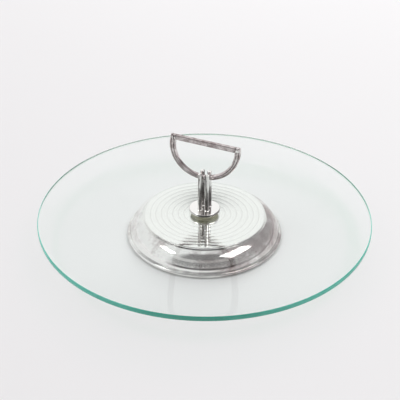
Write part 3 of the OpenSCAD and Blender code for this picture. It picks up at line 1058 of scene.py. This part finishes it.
def felt():
    """Pressed wool felt: matted fibres, no gloss."""
    material = bpy.data.materials.new("green_felt")
    material.use_nodes = True
    tree = material.node_tree
    shader = tree.nodes["Principled BSDF"]
    shader.inputs["Sheen Weight"].default_value = 0.4
    shader.inputs["Sheen Roughness"].default_value = 0.5
    position = add_node(tree, "ShaderNodeTexCoord").outputs["Object"]
    fibres = noise(tree, position, 1200.0, 6.0, 0.7)
    clumps = noise(tree, position, 140.0, 3.0)
    both = maths(tree, "MULTIPLY", fibres, clumps)
    share = spread(tree, both, 0.12, 0.42, 0.0, 1.0)
    colour = mix_colours(tree, share, (0.035, 0.075, 0.052), (0.10, 0.19, 0.135))
    tree.links.new(colour, shader.inputs["Base Color"])
    tree.links.new(spread(tree, fibres, 0.3, 0.7, 0.85, 1.0), shader.inputs["Roughness"])
    bump = add_node(tree, "ShaderNodeBump", Strength=0.8, Distance=0.2 * MM, Height=fibres)
    tree.links.new(bump.outputs["Normal"], shader.inputs["Normal"])
    return material


glass_finish = float_glass()
rim_finish = polished_rim()
rubber_finish = rubber()
felt_finish = felt()
print("glass, rim, rubber, felt:", glass_finish.name, rim_finish.name, rubber_finish.name,
      felt_finish.name)

# %% [markdown]
# ## Giving each piece its finish
# The pieces that keep their engineering mesh take the new finish in their material slots.


# %% Assign the finishes
def finish_with(piece, material):
    """Puts one material in every slot of a piece."""
    if not piece.data.materials:
        piece.data.materials.append(material)
    for index in range(len(piece.data.materials)):
        piece.data.materials[index] = material


finishes = {
    base_silver: [nodes["base_plate"], nodes["hub"], spun_base],
    stem_silver: [nodes["clamp_pin_left"], nodes["clamp_pin_right"], flange, stud],
    handle_silver: [curve, bar],
    rubber_finish: [nodes["centring_bush"], lower_washer, upper_washer],
    felt_finish: [felt_sheet],
    glass_finish: [ground_glass],
}
for made in bpy.data.objects:
    if made.name.startswith(("polished_rod_", "domed_rivet_")):
        finishes[stem_silver].append(made)
for material, pieces in finishes.items():
    for piece in pieces:
        finish_with(piece, material)
ground_glass.data.materials.append(rim_finish)
for face in ground_glass.data.polygons:
    if face.center.xy.length > (GLASS_R - 0.9 * RIM_SOFT) * MM:
        face.material_index = 1
print("finished", sum(len(pieces) for pieces in finishes.values()), "pieces")

# %% [markdown]
# ## The studio
# Polished silver shows the room more than itself, so the room is designed first. Behind and
# above the table it is bright; on the camera's side it is darker, which draws the dark
# stripes on the rods and the grey band on the shoulder. Two softboxes overhead leave the
# two bright patches on the shoulder. A third lamp behind brightens the table, and it is
# hidden from mirror images and from rays that pass through the glass.

# %% Build the surroundings
world = bpy.data.worlds.new("studio")
bpy.context.scene.world = world
world.use_nodes = True
sky = world.node_tree
direction = add_node(sky, "ShaderNodeTexCoord").outputs["Generated"]
parts = add_node(sky, "ShaderNodeSeparateXYZ", Vector=direction)
side = parts.outputs["X"]
depth = parts.outputs["Y"]
height = parts.outputs["Z"]
level = maths(sky, "SQRT", maths(sky, "SUBTRACT", 1.0, maths(sky, "MULTIPLY", height, height)))
facing = maths(sky, "DIVIDE", depth, maths(sky, "MAXIMUM", level, 0.001))
front = spread(sky, facing, -0.80, -0.52, 1.0, 0.0)
wall_band = maths(sky, "MULTIPLY", spread(sky, height, 0.55, 0.60, 0.0, 1.0),
                  spread(sky, height, 0.70, 0.76, 1.0, 0.0))
ceiling = spread(sky, height, 0.96, 0.995, 0.0, 1.0)
rear = spread(sky, facing, 0.78, 0.95, 0.0, 1.0)
walls = mix_colours(sky, spread(sky, side, -0.2, 0.5, 0.0, 1.0),
                    (0.82, 0.81, 0.82), (0.34, 0.32, 0.33))
off_middle = maths(sky, "ABSOLUTE", maths(sky, "SUBTRACT", height, 0.56))
back_wall = mix_colours(sky, spread(sky, off_middle, 0.14, 0.36, 0.0, 1.0), (0.99, 0.99, 0.99),
                        (0.78, 0.78, 0.78))
room = mix_colours(sky, rear, walls, back_wall)
camera_side = mix_colours(sky, wall_band, (0.10, 0.095, 0.095), (0.44, 0.42, 0.42))
shade = mix_colours(sky, front, room, camera_side)
shade = mix_colours(sky, ceiling, shade, (0.80, 0.79, 0.80))
sky.links.new(shade, sky.nodes["Background"].inputs["Color"])
sky.nodes["Background"].inputs["Strength"].default_value = 1.0
print("world:", world.name)


# %% Lights
def softbox(name, place, size, power, look_at=(0, 0, 0)):
    """A rectangular area light that faces look_at."""
    lamp = bpy.data.lights.new(name, "AREA")
    lamp.shape = "RECTANGLE"
    lamp.size, lamp.size_y = size
    lamp.energy = power
    light = bpy.data.objects.new(name, lamp)
    bpy.context.scene.collection.objects.link(light)
    light.location = place
    aim = Vector(look_at) - Vector(place)
    light.rotation_euler = aim.to_track_quat("-Z", "Y").to_euler()
    return light


softbox("softbox_right", place=(1.22, -0.42, 1.88), size=(1.45, 0.85), power=13.0)
softbox("softbox_left", place=(-1.42, -0.27, 1.95), size=(0.85, 0.36), power=5.5)
rear_wash = softbox("rear_wash", place=(0.5, 2.4, 1.9), size=(2.6, 1.4), power=42.0,
                    look_at=(0, 0.9, 0))
rear_wash.visible_glossy = False
rear_wash.visible_transmission = False

# %% Floor
deselect()
bpy.ops.mesh.primitive_plane_add(size=9.0, location=(0, 0, 0))
floor = bpy.context.object
floor.name = "studio_floor"
paper = bpy.data.materials.new("pale_paper")
paper.use_nodes = True
paper_shader = paper.node_tree.nodes["Principled BSDF"]
paper_shader.inputs["Base Color"].default_value = (0.83, 0.825, 0.83, 1)
paper_shader.inputs["Roughness"].default_value = 0.9
paper_shader.inputs["Specular IOR Level"].default_value = 0.1
floor.data.materials.append(paper)
print("floor:", floor.name)

# %% [markdown]
# ## The camera
# It looks at the middle of the glass from the front, a little over a third of a right angle above
# the table, with a long lens, so the plate is a calm ellipse. Small turns about its own
# axes place the object in the frame as a hand-held camera would.

# %% Place the camera
ELEVATION = 32.80
DISTANCE = 0.8743
LENS = 74.25
PAN = -0.324
TILT = 0.659
ROLL = 0.562
view = bpy.data.cameras.new("camera")
view.lens = LENS
camera = bpy.data.objects.new("camera", view)
bpy.context.scene.collection.objects.link(camera)
target = Vector((0, 0, glass_high.z))
back = Vector((0, -math.cos(math.radians(ELEVATION)), math.sin(math.radians(ELEVATION))))
turns = (
    Matrix.Rotation(math.radians(90 - ELEVATION), 4, "X")
    @ Matrix.Rotation(math.radians(-PAN), 4, "Y")
    @ Matrix.Rotation(math.radians(TILT), 4, "X")
    @ Matrix.Rotation(math.radians(ROLL), 4, "Z")
)
camera.matrix_world = Matrix.Translation(target + back * DISTANCE) @ turns
bpy.context.scene.camera = camera
bpy.context.scene.view_settings.view_transform = "Standard"
print("camera at", [round(x, 4) for x in camera.location])
